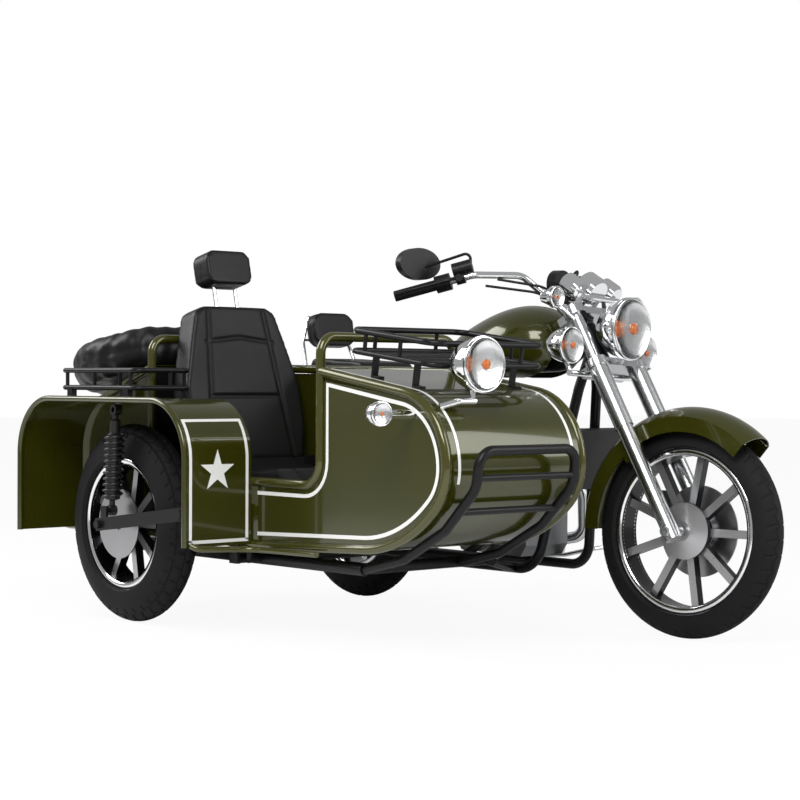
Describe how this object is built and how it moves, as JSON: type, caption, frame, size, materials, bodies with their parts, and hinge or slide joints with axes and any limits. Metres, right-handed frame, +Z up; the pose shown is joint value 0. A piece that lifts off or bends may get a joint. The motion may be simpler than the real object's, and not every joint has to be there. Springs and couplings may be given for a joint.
{
  "type": "sidecar motorcycle",
  "caption": "Olive green touring motorcycle with a one-seat sidecar, tubular guards and racks, and a covered spare wheel on the sidecar's tail.",
  "frame": {"origin": "on the ground, at the middle of the bounding box", "axes": "+X forward, +Y to the vehicle's left, +Z up"},
  "size_m": [2.393, 1.5946, 1.1849],
  "materials": {
    "body_paint": "gloss metallic",
    "rail_paint": "gloss",
    "frame_black": "satin",
    "cast_alloy": "machined and painted",
    "steel": "ground",
    "bright_chrome": "polished",
    "tyre_rubber": "matte",
    "black_rubber": "ribbed",
    "black_plastic": "fine grain",
    "red_lens": "glossy",
    "black_leather": "grained leatherette",
    "cover_fabric": "coated cloth"
  },
  "bodies": {
    "chassis": {"backrest_frame": "bright_chrome", "backrest_pad": "black_leather", "body_rails": "rail_paint", "chain_case": "frame_black", "cockpit_floor": "frame_black", "deck_rack": "frame_black", "engine_case": "cast_alloy", "engine_cylinders": "cast_alloy", "exhaust": "bright_chrome", "fender_rack": "frame_black", "foot_controls": "bright_chrome", "fuel_tank": "body_paint", "headrest": "black_leather", "headrest_posts": "bright_chrome", "inner_panel": "body_paint", "main_frame": "frame_black", "nose_guard": "frame_black", "nose_shell": "body_paint", "outer_panel": "body_paint", "radiator": "frame_black", "rear_fender": "body_paint", "rear_lamps": "red_lens", "rear_shocks": "bright_chrome", "rider_seat": "black_leather", "seat_back": "black_leather", "seat_belt_buckles": "black_plastic", "seat_cushion": "black_leather", "seat_frame": "frame_black", "side_covers": "body_paint", "side_indicator": "bright_chrome", "sidecar_fender": "body_paint", "sidecar_frame": "frame_black", "sidecar_headlight": "bright_chrome", "sidecar_shock": "bright_chrome", "spare_carrier": "frame_black", "spare_wheel": "cover_fabric", "step_bar": "rail_paint", "swingarm": "frame_black", "tail_shell": "body_paint", "trailing_arm": "frame_black"},
    "steering": {"fork_sliders": "cast_alloy", "fork_clamps": "cast_alloy", "front_fender": "body_paint", "handlebar": "bright_chrome", "grips": "black_rubber", "hand_controls": "black_plastic", "mirrors": "black_plastic", "headlight": "bright_chrome", "front_lamps": "bright_chrome", "instruments": "bright_chrome", "front_caliper": "cast_alloy", "control_cables": "black_plastic"},
    "front_wheel": {"front_tyre": "tyre_rubber", "front_rim": "cast_alloy", "front_disc": "steel"},
    "rear_wheel": {"rear_tyre": "tyre_rubber", "rear_rim": "cast_alloy"},
    "sidecar_wheel": {"sidecar_tyre": "tyre_rubber", "sidecar_rim": "cast_alloy", "sidecar_disc": "steel"}
  },
  "joints": [
    {"name": "steering", "type": "hinge", "parent": "chassis", "child": "steering", "pos_m": [0.84074, 0.39218, 0.29532], "axis": [-0.515, 0, 0.8572], "range_deg": [-38, 26]},
    {"name": "front_spin", "type": "hinge", "parent": "steering", "child": "front_wheel", "pos_m": [0.8791, 0.39688, 0.31837], "axis": [-0.0896, 0.9945, -0.0538], "continuous": true},
    {"name": "rear_spin", "type": "hinge", "parent": "chassis", "child": "rear_wheel", "pos_m": [-0.61069, 0.39218, 0.305], "axis": [0, 1, 0], "continuous": true},
    {"name": "sidecar_spin", "type": "hinge", "parent": "chassis", "child": "sidecar_wheel", "pos_m": [-0.51069, -0.63782, 0.311], "axis": [0, 1, 0], "continuous": true}
  ]
}
